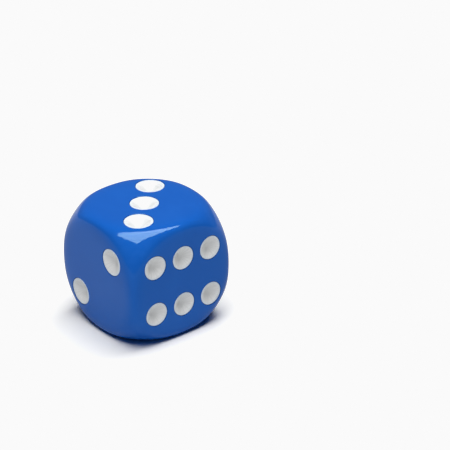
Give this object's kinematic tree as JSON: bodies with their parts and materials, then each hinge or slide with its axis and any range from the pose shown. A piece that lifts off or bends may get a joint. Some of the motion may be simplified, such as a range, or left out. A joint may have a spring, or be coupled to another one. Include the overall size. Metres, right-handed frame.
{
  "type": "casino die",
  "caption": "Opaque six-sided die with ball-rounded corners and dished, enamelled pips, for rolling a number from one to six.",
  "frame": {"origin": "centre of the bottom face, which carries the four", "axes": "+Z out of the three, -Y out of the two, +X out of the six; the four, five and one are opposite"},
  "size_m": [0.016, 0.016, 0.016],
  "materials": {
    "body": "opaque moulded resin, tumbled to a soft gloss",
    "pips": "white enamel, satin, settled into a dished film"
  },
  "bodies": {
    "root": {"die_body": "body", "pip_one_1": "pips", "pip_two_1": "pips", "pip_two_2": "pips", "pip_three_1": "pips", "pip_three_2": "pips", "pip_three_3": "pips", "pip_four_1": "pips", "pip_four_2": "pips", "pip_four_3": "pips", "pip_four_4": "pips", "pip_five_1": "pips", "pip_five_2": "pips", "pip_five_3": "pips", "pip_five_4": "pips", "pip_five_5": "pips", "pip_six_1": "pips", "pip_six_2": "pips", "pip_six_3": "pips", "pip_six_4": "pips", "pip_six_5": "pips", "pip_six_6": "pips"}
  },
  "joints": []
}
